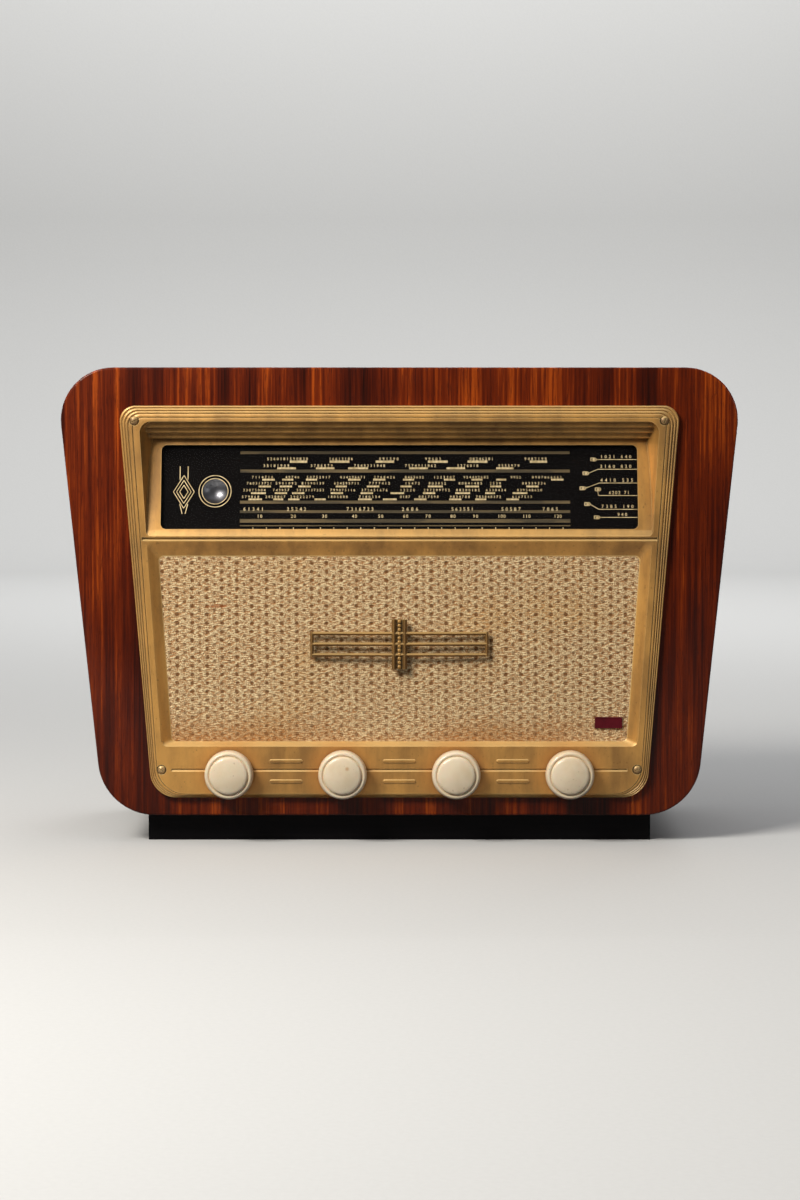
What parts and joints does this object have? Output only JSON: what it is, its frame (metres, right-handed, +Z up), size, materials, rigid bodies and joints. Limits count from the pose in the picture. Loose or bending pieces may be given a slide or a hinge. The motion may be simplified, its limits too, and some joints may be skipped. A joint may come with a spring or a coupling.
{
  "type": "table radio receiver",
  "caption": "Table radio with a tapered wooden cabinet, gilt front frame, inclined dial with tuning eye, woven grille and ivory knobs.",
  "frame": {"origin": "middle of the bounding box at the underside of the plinth", "axes": "+X to the viewer's right along the width, the front faces -Y, +Z up"},
  "size_m": [0.5408, 0.24, 0.382],
  "materials": {
    "mahogany": "glossy varnished veneer",
    "black_wood": "satin black paint",
    "plain_wood": "raw softwood and plywood",
    "pressed_board": "brown pressed board",
    "gilt": "aged gilt lacquer on a moulding",
    "gilt_metal": "aged brass",
    "dial_glass": "back-painted clear glass",
    "clear_glass": "blown glass with a silvered getter",
    "ivory": "ivory moulded plastic, slightly yellowed",
    "cloth": "coarse woven loudspeaker cloth",
    "maroon": "maroon enamel",
    "steel": "plated sheet and rod",
    "aluminium": "satin",
    "bakelite": "brown moulded resin and paper board",
    "iron": "dark lacquered laminations and basket",
    "white_card": "matt white",
    "paper": "pressed paper pulp",
    "cord": "waxed braid",
    "red": "painted pointer"
  },
  "bodies": {
    "cabinet": {"cabinet_shell": "mahogany", "front_panel": "mahogany", "plinth": "black_wood", "cabinet_battens": "plain_wood", "back_cover": "pressed_board", "back_screws": "gilt_metal", "bezel": "gilt", "bezel_screws": "gilt_metal", "dial_glass": "dial_glass", "dial_reflector": "white_card", "dial_frame": "steel", "pointer_rail": "steel", "dial_lamps": "clear_glass", "lamp_holders": "gilt_metal", "magic_eye": "clear_glass", "magic_eye_holder": "steel", "grille_cloth": "cloth", "speaker_board": "plain_wood", "emblem": "gilt_metal", "name_plate": "maroon", "volume_control": "bakelite", "tone_control": "bakelite", "waveband_switch": "bakelite", "tuning_bush": "gilt_metal", "capacitor_frame": "steel", "capacitor_stators": "aluminium", "dial_cords": "cord", "chassis": "steel", "chassis_bolts": "steel", "mains_transformer": "iron", "output_transformer": "iron", "mixer_valve": "clear_glass", "if_valve": "clear_glass", "audio_valve": "clear_glass", "output_valve": "clear_glass", "rectifier_valve": "clear_glass", "valve_sockets": "bakelite", "if_cans": "aluminium", "smoothing_capacitor": "aluminium", "speaker_basket": "iron", "speaker_magnet": "iron", "speaker_cone": "paper", "speaker_bolts": "steel", "terminal_strip": "bakelite", "mains_inlet": "bakelite", "voltage_selector": "bakelite"},
    "volume_knob": {"knob_volume": "ivory", "spindle_volume": "steel"},
    "tone_knob": {"knob_tone": "ivory", "spindle_tone": "steel"},
    "waveband_knob": {"knob_waveband": "ivory", "spindle_waveband": "steel"},
    "tuning_knob": {"knob_tuning": "ivory", "spindle_tuning": "steel"},
    "drum": {"tuning_drum": "aluminium", "capacitor_rotor": "aluminium"},
    "pointer": {"pointer": "red"},
    "left_pulley": {"pulley_left": "gilt_metal"},
    "right_pulley": {"pulley_right": "gilt_metal"},
    "middle_pulley": {"pulley_middle": "gilt_metal"}
  },
  "joints": [
    {"name": "volume_turn", "type": "hinge", "parent": "cabinet", "child": "volume_knob", "pos_m": [-0.1365, -0.115, 0.0567], "axis": [0, 1, 0], "range_deg": [0, 300]},
    {"name": "tone_turn", "type": "hinge", "parent": "cabinet", "child": "tone_knob", "pos_m": [-0.0455, -0.115, 0.0567], "axis": [0, 1, 0], "range_deg": [0, 270]},
    {"name": "waveband_turn", "type": "hinge", "parent": "cabinet", "child": "waveband_knob", "pos_m": [0.0455, -0.115, 0.0567], "axis": [0, 1, 0], "range_deg": [0, 120]},
    {"name": "drum_turn", "type": "hinge", "parent": "cabinet", "child": "drum", "pos_m": [0.159, -0.051, 0.143], "axis": [0, 1, 0], "range_deg": [0, 180]},
    {"name": "tuning_turn", "type": "hinge", "parent": "cabinet", "child": "tuning_knob", "pos_m": [0.1365, -0.115, 0.0567], "axis": [0, 1, 0], "range_deg": [0, 2133]},
    {"name": "pointer_slide", "type": "slide", "parent": "cabinet", "child": "pointer", "axis": [1, 0, 0], "range_m": [0, 0.242]},
    {"name": "left_pulley_turn", "type": "hinge", "parent": "cabinet", "child": "left_pulley", "pos_m": [-0.15, -0.053, 0.33], "axis": [0, 1, 0], "range_deg": [0, 1733]},
    {"name": "right_pulley_turn", "type": "hinge", "parent": "cabinet", "child": "right_pulley", "pos_m": [0.228, -0.053, 0.33], "axis": [0, 1, 0], "range_deg": [0, 1733]},
    {"name": "middle_pulley_turn", "type": "hinge", "parent": "cabinet", "child": "middle_pulley", "pos_m": [0.074, -0.053, 0.314], "axis": [0, 1, 0], "range_deg": [-1733, 0]}
  ],
  "couplings": [
    {"joint": "tuning_turn", "follows": "drum_turn", "ratio": 11.846},
    {"joint": "pointer_slide", "follows": "drum_turn", "m_per_rad": 0.077},
    {"joint": "left_pulley_turn", "follows": "drum_turn", "ratio": 9.625},
    {"joint": "right_pulley_turn", "follows": "drum_turn", "ratio": 9.625},
    {"joint": "middle_pulley_turn", "follows": "drum_turn", "ratio": -9.625}
  ]
}
